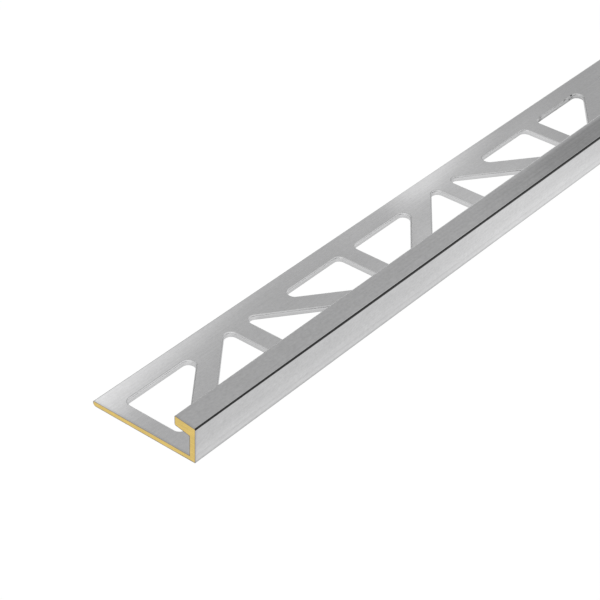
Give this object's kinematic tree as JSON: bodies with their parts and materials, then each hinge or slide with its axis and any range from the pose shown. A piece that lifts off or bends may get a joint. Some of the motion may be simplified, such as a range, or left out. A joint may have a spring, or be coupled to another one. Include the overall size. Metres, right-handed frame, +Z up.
{
  "type": "tile edge trim",
  "caption": "Long tile edge profile: a flat leg punched with rounded triangles, a thin upright wall and a thicker lip that overhangs the leg.",
  "frame": {"origin": "middle of the footprint, on the underside of the leg", "axes": "+X along the trim, +Y from the visible wall towards the tip of the leg, +Z up from the floor"},
  "size_m": [1, 0.0244, 0.0082],
  "materials": {
    "plated_brass": "polished chrome plating, bare brass on the sawn ends"
  },
  "bodies": {
    "root": {"edge_trim": "plated_brass"}
  },
  "joints": []
}
